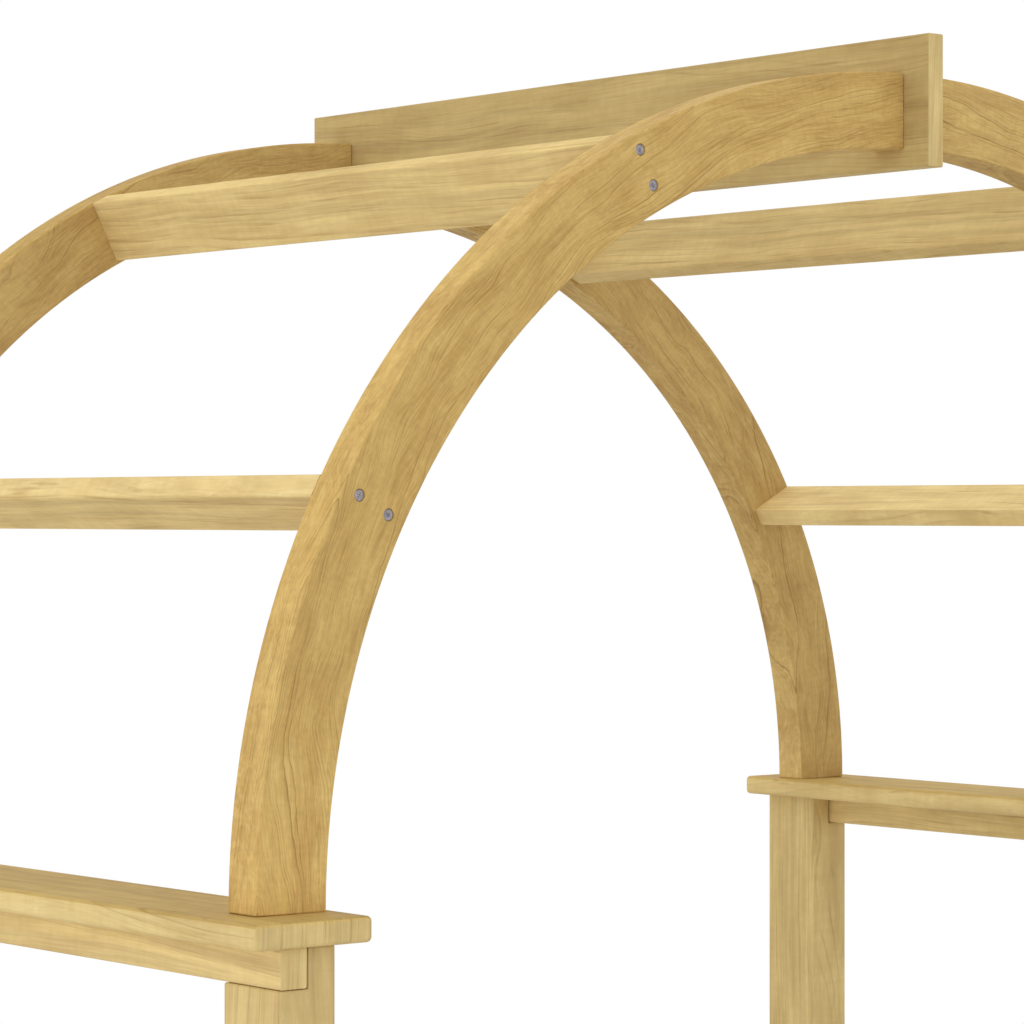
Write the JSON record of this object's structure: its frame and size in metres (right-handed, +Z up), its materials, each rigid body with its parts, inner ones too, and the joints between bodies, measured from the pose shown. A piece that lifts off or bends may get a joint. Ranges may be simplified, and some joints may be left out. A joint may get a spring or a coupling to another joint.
{
  "type": "garden pergola",
  "caption": "Arched timber garden pergola: side frames under flat cap boards carry quarter-round ribs that meet at a ridge board, tied by purlins.",
  "frame": {"origin": "on the ground, at the middle of the passage, level with the posts' feet", "axes": "+X across the passage towards the right side frame, +Y along the passage towards the back arch, +Z up"},
  "size_m": [2.01, 1.284, 2.2905],
  "materials": {
    "board_timber": "planed, pressure-treated pine, matt",
    "arch_timber": "planed pine with strong figure, matt",
    "screw_steel": "dull zinc plate",
    "dowel_wood": "plain beech"
  },
  "bodies": {
    "root": {"post_front_left": "board_timber", "post_front_right": "board_timber", "post_back_left": "board_timber", "post_back_right": "board_timber", "top_rail_left": "board_timber", "top_rail_right": "board_timber", "lower_rail_left": "board_timber", "lower_rail_right": "board_timber", "cap_board_left": "board_timber", "cap_board_right": "board_timber", "rib_front_left": "arch_timber", "rib_front_right": "arch_timber", "rib_back_left": "arch_timber", "rib_back_right": "arch_timber", "ridge_board": "board_timber", "purlin_lower_left": "board_timber", "purlin_lower_right": "board_timber", "purlin_upper_left": "board_timber", "purlin_upper_right": "board_timber", "purlin_screws_front_left": "screw_steel", "purlin_screws_front_right": "screw_steel", "purlin_screws_back_left": "screw_steel", "purlin_screws_back_right": "screw_steel", "cap_screws_left": "screw_steel", "cap_screws_right": "screw_steel", "foot_screws_left": "screw_steel", "foot_screws_right": "screw_steel", "top_rail_screws_left": "screw_steel", "top_rail_screws_right": "screw_steel", "lower_rail_screws_left": "screw_steel", "lower_rail_screws_right": "screw_steel", "ridge_dowels_front": "dowel_wood", "ridge_dowels_back": "dowel_wood"}
  },
  "joints": []
}
